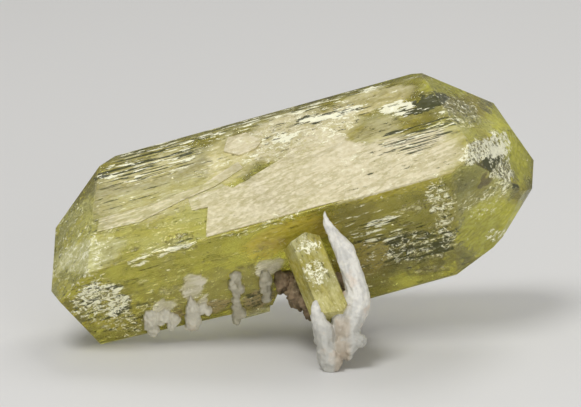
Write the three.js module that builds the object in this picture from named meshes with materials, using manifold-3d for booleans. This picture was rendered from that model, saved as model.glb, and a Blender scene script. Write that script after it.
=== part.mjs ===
// Brazilianite crystal with a small second crystal, albite blades and knobs, and a remnant of its matrix.
// Millimetres. Inside the specimen group x runs to the right, y up and z to the front, as the piece is
// looked at. The group is then tipped back onto the surface, which gives the part +Z up.

import * as THREE from "three";
import { ConvexGeometry } from "three/addons/geometries/ConvexGeometry.js";
import { mergeVertices } from "three/addons/utils/BufferGeometryUtils.js";
import Module from "manifold-3d";

const wasm = await Module();
wasm.setup();

// Driving dimensions, in millimetres and degrees

const AXIS_RISE = 15.5; // the long axis climbs to the right by this much
const LOOK_DOWN = 13; // the front of the specimen is seen from this far above the surface
const SEAM = 0.3; // open seam between pieces that touch

// Faces of the main crystal. Its axis runs to the right. A face is given by its lean towards the right
// end, its roll from straight ahead up over the top, and its distance from the middle of the crystal.
const LENGTHWAYS_FACES = [
  { name: "upper front", lean: 0, roll: 40, reach: 10.4 },
  { name: "lower front", lean: 0, roll: -45, reach: 11.7 },
  { name: "top bevel", lean: 0, roll: 64, reach: 13.5 },
  { name: "upper back", lean: 0, roll: 135.5, reach: 10.8 },
];
const LEFT_END = [
  { name: "left front", lean: -40.5, roll: 53.5, reach: 27.6 },
  { name: "left shoulder", lean: -30.5, roll: 113, reach: 24.9 },
  { name: "left tip", lean: -73.5, roll: 177, reach: 36.6 },
  { name: "left foot", lean: -63, roll: -86, reach: 37.5 },
];
const RIGHT_END = [
  { name: "right shoulder", lean: 46.5, roll: 54.5, reach: 27.1 },
  { name: "right front", lean: 61.5, roll: 7.5, reach: 31.5 },
  { name: "right lower", lean: 26, roll: -48.5, reach: 21.1 },
  { name: "right sliver", lean: 37.5, roll: -65, reach: 27.7 },
  { name: "right rim", lean: 20, roll: 114, reach: 21.3 },
  { name: "right edge", lean: 70, roll: 78, reach: 35.6 },
  { name: "right back", lean: 45, roll: 180, reach: 33 },
  { name: "right tip", lean: 50, roll: -118, reach: 34.3 },
  { name: "right under", lean: 44, roll: -115.5, reach: 32.3 },
];
const THIN_UNDERSIDE = { name: "thin underside", lean: -4, roll: -140, reach: 8.3 };
const THICK_UNDERSIDE = { name: "thick underside", lean: 0, roll: -140, reach: 12.4 };
const THICK_PART_END = { name: "thick part end", lean: -55, roll: -100, reach: 6.2 };

// A stub that grew parallel to the main crystal on its lower edge
const STUB_FACES = [
  { name: "front", lean: 0, roll: -46, reach: 11.6 },
  { name: "bottom", lean: 0, roll: -110, reach: 14.4 },
  { name: "left", lean: -80, roll: -90, reach: 14.6 },
  { name: "right", lean: 72, roll: -100, reach: -2.9 },
  { name: "back", lean: 0, roll: -160, reach: 4.6 },
  { name: "top", lean: 0, roll: 90, reach: -10 },
];

// The re-entrant notch between the stub and the thick part, where the matrix sits
const NOTCH_FACES = [
  { name: "left", lean: -50, roll: 90, reach: -3.8 },
  { name: "top", lean: 0, roll: 90, reach: -12.7 },
  { name: "right", lean: 90, roll: 0, reach: 1.5 },
  { name: "bottom", lean: 0, roll: -90, reach: 25 },
  { name: "front", lean: 0, roll: 0, reach: 20 },
  { name: "back", lean: 0, roll: 180, reach: 20 },
];

// Raised growth layers. Each lies on a lengthways face, outlined by how far along the axis
// and how far up the face its corners are.
const LAYER_RISE = 0.35;
const LAYER_SUNK = 1; // into the crystal, so that the layer and the crystal are one solid
const LAYERS = [
  {
    on: "upper front",
    outline: [
      [-14.3, -10.5], [-12.8, -4.7], [-15.4, -4.4], [-15.5, -1.8], [-12.2, -1.3], [-9.8, -0.7], [-8.3, -2.3],
      [-3.2, -0.5], [0.9, 1.0], [4.7, 3.5], [10.6, 4.0], [11.4, -1.1], [8.0, -10.5],
    ],
  },
  {
    on: "upper front",
    outline: [[-8.2, 5.6], [-7.0, 8.1], [-4.0, 8.1], [-1.9, 5.7], [-3.1, 4.4], [-5.9, 3.9]],
  },
  {
    on: "upper front",
    outline: [
      [-30.7, -3.4], [-29.9, -0.9], [-21.6, -0.9], [-12.7, 0.2], [-6.4, 2.8], [-5.9, 1.3], [-11.1, -0.9],
      [-16.4, -1.8], [-23.7, -3.8],
    ],
  },
  { on: "upper back", outline: [[-20, -9], [-22, -3], [-6, -1], [-4, -6], [10, -7], [12, -9]] },
  { on: "upper back", outline: [[4, 1], [2, 5], [17, 6], [20, 1]] },
];

// Small crystal, standing across the front of the main one
const SMALL_MIDDLE = new THREE.Vector3(3.8, -11.0, 15.0);
const SMALL_AXIS = new THREE.Vector3(-4.5, 11.1, -3.7);
const SMALL_FACES = [
  { name: "front", lean: 0, roll: -8, reach: 2.3 },
  { name: "left front", lean: 0, roll: 58, reach: 2.75 },
  { name: "left back", lean: 0, roll: 122, reach: 2.8 },
  { name: "right", lean: 0, roll: -88, reach: 2.85 },
  { name: "back", lean: 0, roll: 180, reach: 2.3 },
  { name: "top left", lean: 74, roll: 75, reach: 6.4 },
  { name: "top right", lean: 56, roll: -100, reach: 5.8 },
  { name: "top front", lean: 50, roll: 10, reach: 6.3 },
  { name: "bottom", lean: -70, roll: 40, reach: 7.2 },
  { name: "bottom right", lean: -50, roll: -80, reach: 7.0 },
];

// Slices of the albite, from the top down: height, left and right edge, middle from back to front,
// and half the thickness there.
const BLADE_SLICES = [
  [-1.1, 5.0, 5.3, 15.2, 0.2],
  [-1.7, 4.8, 5.5, 15.4, 0.45],
  [-3.1, 4.9, 6.5, 15.8, 0.7],
  [-4.4, 5.3, 7.7, 16.0, 0.9],
  [-6.2, 5.9, 9.5, 16.3, 1.1],
  [-8.6, 6.9, 10.5, 16.6, 1.2],
  [-10.9, 7.7, 11.2, 16.8, 1.4],
  [-13.2, 8.2, 11.9, 17.0, 1.6],
  [-14.9, 8.3, 12.3, 17.1, 1.8],
  [-17.1, 7.8, 11.9, 17.2, 2.0],
  [-18.4, 7.2, 11.2, 17.3, 2.1],
  [-19.6, 7.0, 10.6, 17.4, 2.2],
  [-20.8, 6.9, 11.3, 17.6, 2.2],
  [-21.8, 7.2, 10.9, 17.8, 2.1],
  [-22.9, 7.8, 9.8, 17.8, 1.8],
  [-23.9, 8.2, 9.0, 17.8, 0.9],
];
const FOOT_SLICES = [
  [-14.9, 3.3, 4.0, 19.0, 0.5],
  [-15.7, 2.9, 4.4, 19.0, 0.9],
  [-17.3, 2.8, 5.1, 18.9, 1.3],
  [-18.7, 3.0, 6.3, 18.7, 1.7],
  [-20.2, 3.4, 6.6, 18.6, 1.9],
  [-21.8, 3.7, 6.5, 18.6, 2.0],
  [-23.3, 3.9, 7.6, 18.7, 2.0],
  [-24.4, 4.0, 8.0, 18.7, 1.9],
  [-25.3, 4.5, 7.5, 18.7, 1.6],
  [-26.3, 5.1, 6.9, 18.7, 1.2],
];
const CLUSTER_LUMPS = [
  { at: [7.5, -22.0, 18.2], size: [1.7, 2.0, 1.7] },
  { at: [10.2, -21.1, 18.2], size: [1.3, 1.2, 1.6] },
  { at: [8.0, -18.0, 15.6], size: [2.6, 3.4, 1.8] },
];

const KNOBS = {
  albite_knob_left: {
    slices: [],
    lumps: [
      { at: [-22.4, -17.6, 5.3], size: [1.3, 2.1, 1.7] },
      { at: [-22.1, -19.5, 3.4], size: [1.1, 1.3, 1.4] },
      { at: [-23.1, -18.8, 4.0], size: [0.8, 1.1, 1.2] },
      { at: [-20.6, -17.4, 5.0], size: [1.6, 1.4, 1.5] },
      { at: [-18.9, -18.0, 3.8], size: [1.3, 1.2, 1.6] },
    ],
  },
  albite_knob_standing: {
    slices: [
      [-14.4, -16.4, -15.7, 6.7, 0.8],
      [-15.4, -16.7, -15.2, 6.0, 1.1],
      [-16.6, -17.0, -14.7, 5.0, 1.4],
      [-17.7, -17.1, -14.5, 4.0, 1.6],
      [-18.8, -17.1, -14.5, 3.2, 1.6],
      [-19.7, -16.8, -14.8, 2.8, 1.3],
    ],
    lumps: [{ at: [-14.2, -16.0, 4.7], size: [1.0, 1.3, 1.2] }],
  },
  albite_knob_middle: {
    slices: [
      [-11.0, -9.4, -8.4, 8.0, 0.9],
      [-12.0, -10.0, -7.8, 7.1, 1.2],
      [-13.2, -10.1, -7.7, 6.0, 1.3],
      [-14.3, -9.7, -8.0, 4.9, 1.2],
      [-15.3, -9.3, -8.3, 4.0, 1.1],
      [-16.3, -9.6, -8.1, 3.1, 1.2],
      [-17.8, -9.7, -7.9, 1.9, 1.3],
      [-18.8, -9.3, -8.4, 1.3, 1.0],
    ],
    lumps: [],
  },
  albite_knob_right: {
    slices: [
      [-10.6, -5.0, -3.6, 7.6, 0.9],
      [-12.0, -5.4, -3.1, 6.2, 1.3],
      [-13.4, -5.1, -3.3, 4.9, 1.3],
      [-14.5, -4.8, -3.6, 3.7, 1.2],
      [-15.2, -4.6, -3.8, 3.2, 0.9],
    ],
    lumps: [],
  },
};

// Matrix remnant: under the crystal from the small crystal at the front to a rear foot on the surface
const MATRIX_LUMPS = [
  { at: [-1.0, -12.2, 6.2], size: [1.7, 1.8, 2.6] },
  { at: [1.2, -13.9, 9.5], size: [1.9, 2.6, 3.4] },
  { at: [-1.9, -13.4, 7.4], size: [0.7, 0.7, 0.9] },
  { at: [5.7, -14.8, 11.2], size: [4.7, 4.2, 4.2] },
  { at: [7.5, -17.0, 4.4], size: [3.7, 3.0, 5.4] },
  { at: [8.1, -16.0, -2.6], size: [3.7, 3.3, 5.0] },
  { at: [8.5, -13.6, -8.2], size: [3.5, 4.6, 4.2] },
  { at: [9.2, -17.0, -10.2], size: [2.4, 3.6, 2.7] },
];

const LUMP_DETAIL = 2;
const LUMP_ROUGHNESS = 0.11; // of the lump's size
const SLICE_CORNERS = 10;
const SLICE_ROUGHNESS = 0.12; // millimetres
const SLICE_END = 0.3; // height of the blunt points at both ends
const SURFACE_BLOCK = [200, 200, 40]; // what the pieces are cut off with at the surface

const radians = THREE.MathUtils.degToRad;

// A repeatable random number from 0 to 1 for a whole number
function hash(seed) {
  const wave = Math.sin(seed * 127.1 + 11.7) * 43758.5453;
  return wave - Math.floor(wave);
}

// Frames

const crystalToSpecimen = new THREE.Matrix4().makeRotationZ(radians(AXIS_RISE));

const specimenToWorld = new THREE.Matrix4().makeRotationX(radians(90 - LOOK_DOWN));

// Solids

function solidFromGeometry(geometry) {
  geometry.deleteAttribute("normal");
  geometry.deleteAttribute("uv");
  const merged = mergeVertices(geometry, 1e-4);
  const mesh = new wasm.Mesh({
    numProp: 3,
    vertProperties: new Float32Array(merged.attributes.position.array),
    triVerts: new Uint32Array(merged.index.array),
  });
  return new wasm.Manifold(mesh);
}

function geometryFromSolid(solid) {
  const { vertProperties, triVerts } = solid.getMesh();
  const geometry = new THREE.BufferGeometry();
  geometry.setAttribute("position", new THREE.BufferAttribute(vertProperties, 3));
  geometry.setIndex(new THREE.BufferAttribute(triVerts, 1));
  return geometry;
}

function joined(solids) {
  return solids.reduce((whole, solid) => whole.add(solid));
}

function faceNormal({ lean, roll }) {
  const a = radians(lean);
  const b = radians(roll);
  return new THREE.Vector3(Math.sin(a), Math.cos(a) * Math.sin(b), Math.cos(a) * Math.cos(b));
}

// The corners of a crystal are the points where three of its faces meet inside all the others.
function crystalCorners(faces, grow) {
  const planes = faces.map((face) => ({ normal: faceNormal(face), reach: face.reach + grow }));
  const corners = [];
  for (let i = 0; i < planes.length; i++) {
    for (let j = i + 1; j < planes.length; j++) {
      for (let k = j + 1; k < planes.length; k++) {
        const [a, b, c] = [planes[i], planes[j], planes[k]];
        const three = new THREE.Matrix3();
        three.set(...a.normal.toArray(), ...b.normal.toArray(), ...c.normal.toArray());
        if (Math.abs(three.determinant()) < 1e-5) continue;
        const corner = new THREE.Vector3(a.reach, b.reach, c.reach).applyMatrix3(three.invert());
        const inside = planes.every((plane) => plane.normal.dot(corner) < plane.reach + 1e-6);
        if (inside && !corners.some((other) => other.distanceTo(corner) < 1e-3)) corners.push(corner);
      }
    }
  }
  return corners;
}

function crystal(faces, frame, grow = 0) {
  return solidFromGeometry(new ConvexGeometry(crystalCorners(faces, grow)).applyMatrix4(frame));
}

// A thin plate on a lengthways face, sunk into the crystal below it
function growthLayer({ on, outline }, grow) {
  const face = LENGTHWAYS_FACES.find(({ name }) => name === on);
  const shape = new THREE.Shape(outline.map(([along, up]) => new THREE.Vector2(along, up)));
  const depth = LAYER_SUNK + LAYER_RISE + grow;
  const plate = new THREE.ExtrudeGeometry(shape, { depth, bevelEnabled: false });
  plate.translate(0, 0, face.reach - LAYER_SUNK);
  plate.rotateX(radians(-face.roll));
  return solidFromGeometry(plate.applyMatrix4(crystalToSpecimen));
}

function mainCrystal(grow = 0) {
  const longFaces = [...LENGTHWAYS_FACES, ...LEFT_END, ...RIGHT_END, THIN_UNDERSIDE];
  const long = crystal(longFaces, crystalToSpecimen, grow);
  const thickFaces = [...LENGTHWAYS_FACES, ...RIGHT_END, THICK_UNDERSIDE, THICK_PART_END];
  const thick = crystal(thickFaces, crystalToSpecimen, grow);
  const stub = crystal(STUB_FACES, crystalToSpecimen, grow);
  const notch = crystal(NOTCH_FACES, crystalToSpecimen, -grow);
  const layers = LAYERS.map((layer) => growthLayer(layer, grow));
  return joined([long.subtract(notch).add(stub), thick, ...layers]);
}

function smallCrystal(grow = 0) {
  const along = SMALL_AXIS.clone().normalize();
  const front = new THREE.Vector3(0, 0, 1).addScaledVector(along, -along.z).normalize();
  const across = new THREE.Vector3().crossVectors(front, along);
  const frame = new THREE.Matrix4().makeBasis(along, across, front).setPosition(SMALL_MIDDLE);
  return crystal(SMALL_FACES, frame, grow);
}

// A knobbly ball, stretched to its size
function lump({ at, size }, grow = 0) {
  const geometry = new THREE.IcosahedronGeometry(1, LUMP_DETAIL);
  geometry.deleteAttribute("normal");
  geometry.deleteAttribute("uv");
  const ball = mergeVertices(geometry, 1e-4);
  const place = ball.attributes.position;
  const point = new THREE.Vector3();
  for (let i = 0; i < place.count; i++) {
    point.fromBufferAttribute(place, i);
    const bump = 1 + LUMP_ROUGHNESS * (2 * hash(i + 31 * at[0] + 17 * at[1]) - 1);
    point.multiplyScalar(bump);
    place.setXYZ(
      i,
      at[0] + point.x * (size[0] + grow),
      at[1] + point.y * (size[1] + grow),
      at[2] + point.z * (size[2] + grow),
    );
  }
  return solidFromGeometry(ball);
}

// A solid through level slices, with a blunt point above the first and below the last
function sliced(slices, grow = 0) {
  const points = [];
  const [first, last] = [slices[0], slices[slices.length - 1]];
  slices.forEach(([y, left, right, z, half], row) => {
    for (let i = 0; i < SLICE_CORNERS; i++) {
      const turn = (2 * Math.PI * i) / SLICE_CORNERS;
      const rough = SLICE_ROUGHNESS * (2 * hash(i * 7.3 + row * 3.1 + left) - 1);
      const x = (left + right) / 2 + ((right - left) / 2 + grow + rough) * Math.cos(turn);
      points.push(x, y, z + (half + grow + rough) * Math.sin(turn));
    }
  });
  points.push((first[1] + first[2]) / 2, first[0] + SLICE_END + grow, first[3]);
  points.push((last[1] + last[2]) / 2, last[0] - SLICE_END - grow, last[3]);
  const faces = [];
  const topPoint = slices.length * SLICE_CORNERS;
  for (let i = 0; i < SLICE_CORNERS; i++) {
    const next = (i + 1) % SLICE_CORNERS;
    for (let row = 0; row < slices.length - 1; row++) {
      const [upper, lower] = [row * SLICE_CORNERS, (row + 1) * SLICE_CORNERS];
      faces.push(upper + i, upper + next, lower + i);
      faces.push(upper + next, lower + next, lower + i);
    }
    const bottomRing = (slices.length - 1) * SLICE_CORNERS;
    faces.push(topPoint, next, i);
    faces.push(topPoint + 1, bottomRing + i, bottomRing + next);
  }
  const geometry = new THREE.BufferGeometry();
  geometry.setAttribute("position", new THREE.Float32BufferAttribute(points, 3));
  geometry.setIndex(faces);
  return solidFromGeometry(geometry);
}

function albiteCluster(grow = 0) {
  const lumps = CLUSTER_LUMPS.map((one) => lump(one, grow));
  return joined([sliced(BLADE_SLICES, grow), sliced(FOOT_SLICES, grow), ...lumps]);
}

function knob({ slices, lumps }, grow = 0) {
  const parts = lumps.map((one) => lump(one, grow));
  if (slices.length > 0) parts.push(sliced(slices, grow));
  return joined(parts);
}

function matrixRemnant() {
  return joined(MATRIX_LUMPS.map((one) => lump(one)));
}

// Everything below the surface, which touches the lowest corner of the main crystal
function belowSurface() {
  const tipped = geometryFromSolid(mainCrystal()).applyMatrix4(specimenToWorld);
  tipped.computeBoundingBox();
  const height = SURFACE_BLOCK[2];
  const block = new THREE.BoxGeometry(...SURFACE_BLOCK);
  block.translate(0, 0, tipped.boundingBox.min.z - height / 2);
  return solidFromGeometry(block.applyMatrix4(specimenToWorld.clone().invert()));
}

// Assembly

const specimen = new THREE.Group();

function addPiece(name, solid, material) {
  const geometry = geometryFromSolid(solid);
  geometry.computeBoundingBox();
  const middle = geometry.boundingBox.getCenter(new THREE.Vector3());
  const mesh = new THREE.Mesh(geometry.translate(-middle.x, -middle.y, -middle.z), material);
  mesh.name = name;
  mesh.position.copy(middle);
  specimen.add(mesh);
}

const paleYellow = new THREE.MeshStandardMaterial({ color: 0xc9c060, roughness: 0.08, metalness: 0 });
const deepYellow = new THREE.MeshStandardMaterial({ color: 0xbfae48, roughness: 0.1, metalness: 0 });
const albiteWhite = new THREE.MeshStandardMaterial({ color: 0xe4e2dc, roughness: 0.55, metalness: 0 });
const matrixBrown = new THREE.MeshStandardMaterial({ color: 0xa07a5c, roughness: 0.8, metalness: 0 });

const surface = belowSurface();
const roomForMain = mainCrystal(SEAM);
const roomForSmall = smallCrystal(SEAM);
const cluster = albiteCluster().subtract(roomForMain).subtract(roomForSmall).subtract(surface);
const roomForCluster = albiteCluster(SEAM);

addPiece("main_crystal", mainCrystal(), paleYellow);
addPiece("small_crystal", smallCrystal().subtract(roomForMain), deepYellow);
addPiece("albite_blades", cluster, albiteWhite);
for (const [name, parts] of Object.entries(KNOBS)) {
  addPiece(name, knob(parts).subtract(roomForMain).subtract(surface), albiteWhite);
}
const matrixRoom = joined([roomForMain, roomForSmall, roomForCluster, knob(KNOBS.albite_knob_right, SEAM)]);
addPiece("matrix_remnant", matrixRemnant().subtract(matrixRoom).subtract(surface), matrixBrown);

specimen.rotation.x = radians(90 - LOOK_DOWN);
specimen.updateMatrixWorld(true);
const extent = new THREE.Box3().setFromObject(specimen, true);
const footprint = extent.getCenter(new THREE.Vector3());
specimen.position.set(-footprint.x, -footprint.y, -extent.min.z);

export default specimen;
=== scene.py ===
"""Looks of a brazilianite specimen: clear yellow crystals, white albite and matrix, in a plain studio."""

import math
from collections import namedtuple
from types import SimpleNamespace

import bmesh
import bpy
import numpy as np
from bpy.props import FloatProperty, FloatVectorProperty, IntProperty, PointerProperty
from mathutils import Matrix, Vector, noise
from mathutils.bvhtree import BVHTree


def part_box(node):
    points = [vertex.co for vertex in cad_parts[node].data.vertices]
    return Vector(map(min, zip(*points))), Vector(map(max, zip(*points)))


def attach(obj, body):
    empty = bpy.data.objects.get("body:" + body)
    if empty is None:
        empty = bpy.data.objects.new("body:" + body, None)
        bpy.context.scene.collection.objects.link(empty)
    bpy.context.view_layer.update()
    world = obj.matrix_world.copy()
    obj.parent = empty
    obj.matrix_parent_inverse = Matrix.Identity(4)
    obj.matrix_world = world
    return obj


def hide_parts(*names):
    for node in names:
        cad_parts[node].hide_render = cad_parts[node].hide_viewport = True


bl_info = {
    "name": "Brazilianite Specimen",
    "version": (1, 0, 0),
    "blender": (4, 5, 0),
    "location": "View3D > Sidebar > Specimen",
    "description": "Clear crystals, albite, matrix and a studio around the specimen's frame",
    "category": "Object",
}

MM = 0.001

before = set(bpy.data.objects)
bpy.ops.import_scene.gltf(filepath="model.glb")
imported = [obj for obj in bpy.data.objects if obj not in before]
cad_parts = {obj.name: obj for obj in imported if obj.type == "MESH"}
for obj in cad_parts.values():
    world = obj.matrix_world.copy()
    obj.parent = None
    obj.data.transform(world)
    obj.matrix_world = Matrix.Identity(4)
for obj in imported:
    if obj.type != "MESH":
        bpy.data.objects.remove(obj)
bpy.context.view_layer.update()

# Where things are. The camera looks down on the specimen, and the main crystal's axis rises to the right.

AXIS_RISE = math.radians(15.5)
LOOK_DOWN = math.radians(13)
SPECIMEN_TURN = Matrix.Rotation(math.pi / 2 - LOOK_DOWN, 3, "X")
CRYSTAL_TURN = SPECIMEN_TURN @ Matrix.Rotation(AXIS_RISE, 3, "Z")
RIGHT, UP, TOWARD_VIEWER = (SPECIMEN_TURN.col[i].copy() for i in range(3))
ALONG, ACROSS, FORWARD = (CRYSTAL_TURN.col[i].copy() for i in range(3))

# Millimetres from the middle of the main crystal's box to the middle of its axis
BOX_TO_AXIS = Vector((-0.52, 0, 0.05))
MAIN_LOW, MAIN_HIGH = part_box("main_crystal")
MIDDLE = (MAIN_LOW + MAIN_HIGH) / 2 + BOX_TO_AXIS * MM
# Millimetres right, up and toward the viewer from the small crystal's foot to its tip
SMALL_RISE = Vector((-4.5, 11.1, -3.7))
SMALL_ALONG = (SPECIMEN_TURN @ SMALL_RISE).normalized()
SMALL_LOW, SMALL_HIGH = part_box("small_crystal")
SMALL_MIDDLE = (SMALL_LOW + SMALL_HIGH) / 2
KNOBS = sorted(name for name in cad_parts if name.startswith("albite_knob"))


def face_normal(roll):
    """The outward normal of a face of the main crystal, so many degrees up from facing forward."""
    roll = math.radians(roll)
    return CRYSTAL_TURN @ Vector((0, math.sin(roll), math.cos(roll)))


def from_middle(offset):
    """The place so many millimetres right, up and toward the viewer from the main crystal's middle."""
    return MIDDLE + SPECIMEN_TURN @ offset * MM


UPPER_FRONT = face_normal(40)
LOWER_FRONT = face_normal(-45)
UP_THE_UPPER_FACE = UPPER_FRONT.cross(ALONG)
DOWN_THE_LOWER_FACE = ALONG.cross(LOWER_FRONT)
# Millimetres from the main crystal's middle to its two front faces
UPPER_REACH = 10.4
LOWER_REACH = 11.7
# The long ridge down the tall albite blade, and the albite that fills the fork between the two blades:
# millimetres to the right, up and toward the viewer from the main crystal's middle
RIDGE_TOP = Vector((6.8, -4.8, 15.0))
RIDGE_FOOT = Vector((9.5, -13.0, 15.0))
RIDGE_WIDTH, RIDGE_HEIGHT = 1.1, 0.75
FORK = Vector((7.3, -18.4, 17.6))
FORK_SIZE = Vector((1.2, 2.9, 1.2))

# Zones seen in the front of the main crystal. In millimetres: an oval's middle along and across the axis, its
# half length and half width. Then how much milk, darkness and painted glints it adds, and how far it draws
# its marks out to threads. Painted glints are near-white colour that stands in for sparkles of light.
Zone = namedtuple("Zone", "s w half_length half_width milk darkness brightness threads", defaults=[0.0])
ZONES = {
    "sage": Zone(-20.0, 8.5, 14.0, 5.6, 0.30, 0.05, 0.12, 0.5),
    "sage streaks": Zone(-20.5, 12.4, 10.0, 3.2, 0.34, 0.42, 0.24, 1.0),
    "low left": Zone(-21.0, 3.5, 13.0, 3.6, 0.10, 0.05, 0.15),
    "cream right": Zone(15.5, 1.8, 16.0, 5.4, 0.70, -0.10, 0.10),
    "cream middle": Zone(7.0, 5.0, 6.5, 5.6, 0.60, -0.10, 0.10),
    "grey streaks": Zone(21.5, 5.2, 7.0, 2.6, 0.0, 0.60, 0.15, 1.0),
    "cream upper": Zone(3.4, 10.6, 12.0, 4.0, 0.62, 0.10, 0.45),
    "gold middle": Zone(-7.6, 9.8, 4.6, 4.2, 0.55, -0.10, 0.25),
    "upper crown": Zone(16.0, 12.6, 9.0, 1.8, 0.52, 0.0, 0.20, 0.4),
    "left pale": Zone(-33.0, 0.9, 6.8, 3.0, 0.50, -0.10, 0.20),
    "top strip": Zone(0.0, 14.4, 27.0, 0.9, 0.20, 0.30, 0.45, 0.8),
    "window": Zone(16.2, 7.6, 4.4, 1.9, 0.15, 0.10, -0.10),
    "upper right": Zone(16.5, 9.2, 10.0, 3.4, 0.25, 0.05, 0.05),
    # Painted reflections: the mirror zones' glints and dark marks stand for light and dark mirrored by flat
    # inner fractures.
    "mirror right": Zone(20.3, 10.4, 3.9, 1.6, 0.20, 0.25, 1.30, 0.5),
    "mirror dark": Zone(24.6, 9.8, 4.2, 1.4, 0.0, 1.45, 0.10, 0.8),
    "mirror middle": Zone(10.5, 12.3, 7.5, 1.0, 0.0, 0.80, 0.50, 1.0),
    "mirror small": Zone(1.9, 10.8, 2.2, 0.9, 0.0, 0.50, 0.90, 0.5),
    "mirror left": Zone(-27.4, 12.5, 1.5, 0.9, 0.0, 0.80, 0.90, 0.5),
    "left tip": Zone(-35.5, 2.0, 6.0, 9.0, 0.22, 0.15, 0.30),
    "left low": Zone(-32.8, -6.4, 5.4, 3.6, 0.12, 0.55, 0.80),
    "left foot": Zone(-29.0, -10.6, 6.4, 3.2, 0.22, 0.35, 0.45),
    "left glints": Zone(-21.5, -1.6, 6.5, 1.2, 0.0, 0.30, 0.75, 0.5),
    "left middle": Zone(-24.0, -6.0, 8.0, 3.4, 0.05, 0.25, 0.25, 0.4),
    "haze": Zone(-13.0, -10.0, 11.5, 3.2, 0.15, 0.0, 0.10),
    "amber": Zone(-1.5, -4.6, 9.0, 2.8, 0.52, 0.0, -0.1),
    "amber rim": Zone(-5.0, -1.4, 8.0, 1.2, 0.15, 0.10, 0.45),
    "brown": Zone(8.5, -11.0, 6.0, 3.6, 0.30, 0.30, 0.15),
    "green": Zone(18.0, -11.8, 7.0, 3.4, 0.0, 0.80, 0.45),
    "green upper": Zone(13.0, -7.6, 5.5, 2.6, 0.06, 0.45, 0.50, 0.4),
    "olive": Zone(11.0, -5.2, 9.0, 2.4, 0.22, 0.0, 0.20, 0.5),
    "strip": Zone(22.8, -5.9, 2.0, 4.8, 0.15, 0.30, 0.70),
    "right end": Zone(32.6, 0.4, 5.4, 2.5, 0.25, 0.40, 1.05),
    "right arm": Zone(33.4, -3.6, 2.4, 4.2, 0.20, 0.35, 0.80),
    "right lower": Zone(28.8, -7.5, 5.0, 2.6, 0.20, 0.20, 0.45),
    "right upper": Zone(29.5, 7.0, 4.5, 3.5, 0.20, 0.35, 0.50),
    "right rim": Zone(37.0, 1.0, 3.6, 9.0, 0.45, -0.20, -0.10),
    "top rim": Zone(31.0, 12.5, 7.0, 3.0, 0.45, 0.05, 0.05),
    "right plain": Zone(30.0, -12.0, 7.5, 5.5, 0.58, -0.20, -0.10),
    "rim glints": Zone(30.2, -13.2, 2.6, 0.9, 0.0, 0.0, 0.80),
    "root left": Zone(-23.5, -10.0, 2.2, 1.4, 0.50, -0.20, 0.20),
    "root standing": Zone(-18.8, -8.2, 1.9, 2.3, 0.52, -0.20, 0.22),
    "root between": Zone(-17.4, -11.3, 1.0, 1.3, 0.50, -0.20, 0.20),
    "root right": Zone(-6.2, -8.3, 2.1, 1.8, 0.52, -0.20, 0.22),
    "crust left": Zone(-21.4, -11.3, 1.6, 0.9, 0.45, 0.20, 0.0),
    "crust middle": Zone(-15.5, -11.9, 2.6, 1.2, 0.45, 0.30, 0.10),
    "crust right": Zone(-9.5, -13.2, 3.2, 1.5, 0.50, 0.50, 0.05),
    "black spot": Zone(31.3, -2.3, 1.1, 1.2, 0.0, 3.50, -2.0),
    "brown spot": Zone(30.4, -4.4, 1.2, 1.1, 0.60, 0.0, -1.5),
    "edge spot": Zone(35.0, -6.7, 0.7, 0.6, 0.0, 1.60, -1.0),
}

# Milk, darkness and painted glints outside the zones, how far marks are threads there, and how crowded chips
# are
BACKGROUND = (0.06, 0.08, 0.08)
BACKGROUND_THREADS = 0.12
BACKGROUND_CROWD = 0.16

# How much of the cream of the raised layers a zone of the upper face has. The cream is partly frosted growth
# layers and partly painted sheen of the overhead light
CREAM_SHARES = {
    "cream right": 1.0, "cream middle": 1.0, "cream upper": 0.8, "sage": 0.5, "gold middle": 0.2,
    "upper crown": 0.5,
}

# What colours the veils in the main crystal, one over the other: how strongly, and the colour
VEIL_TINTS = {
    "window": (0.80, (0.66, 0.60, 0.32)),
    "cream upper": (0.75, (0.60, 0.54, 0.24)),
    "sage": (0.55, (0.84, 0.81, 0.62)),
    "olive": (0.80, (0.50, 0.43, 0.06)),
    "roots": (1.00, (0.79, 0.74, 0.60)),
    "crusts": (1.00, (0.40, 0.30, 0.13)),
    "amber": (0.80, (0.60, 0.44, 0.06)),
    "brown": (0.60, (0.46, 0.35, 0.09)),
    "rims": (0.90, (0.58, 0.57, 0.05)),
    "gold middle": (0.80, (0.71, 0.64, 0.30)),
    "sage streaks": (0.60, (0.62, 0.56, 0.22)),
    "left pale": (0.70, (0.68, 0.67, 0.38)),
    "brown spot": (1.00, (0.10, 0.06, 0.04)),
}

# Noise in both crystals: how fine it is along and across the axis, its detail, roughness and swirl
PATTERNS = {
    "drift": (0.12, 0.30, 2.0, 0.55, 0.0),
    "clouds": (0.16, 0.28, 3.0, 0.60, 0.0),
    "fibres": (0.30, 1.90, 5.0, 0.66, 0.0),
    "threads": (0.14, 2.90, 4.0, 0.62, 0.0),
    "mottle": (0.85, 1.25, 6.0, 0.72, 0.9),
    "peel": (1.40, 1.80, 3.0, 0.60, 0.0),
}
MARK_GAIN = 0.13  # how much darkness or brightness brings a mark nearer
SPOT_RISE = (0.08, 0.12)  # where a dark spot begins and where it is full
# Where a painted glint begins and where it is full
PAINTED_GLINT_RISE = (0.11, 0.145)

# Colours of the marks in both crystals, and the light that the clear crystal lets through
# Painted highlight: the pale colour on the high points of the orange peel, standing in for sheen
PAINTED_PEEL_HIGHLIGHT = (0.92, 0.86, 0.67)
WORN_COLOUR = (0.55, 0.52, 0.30)
HAIR_COLOUR = (0.56, 0.55, 0.36)
SPOT_COLOUR = (0.04, 0.045, 0.015)
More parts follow.
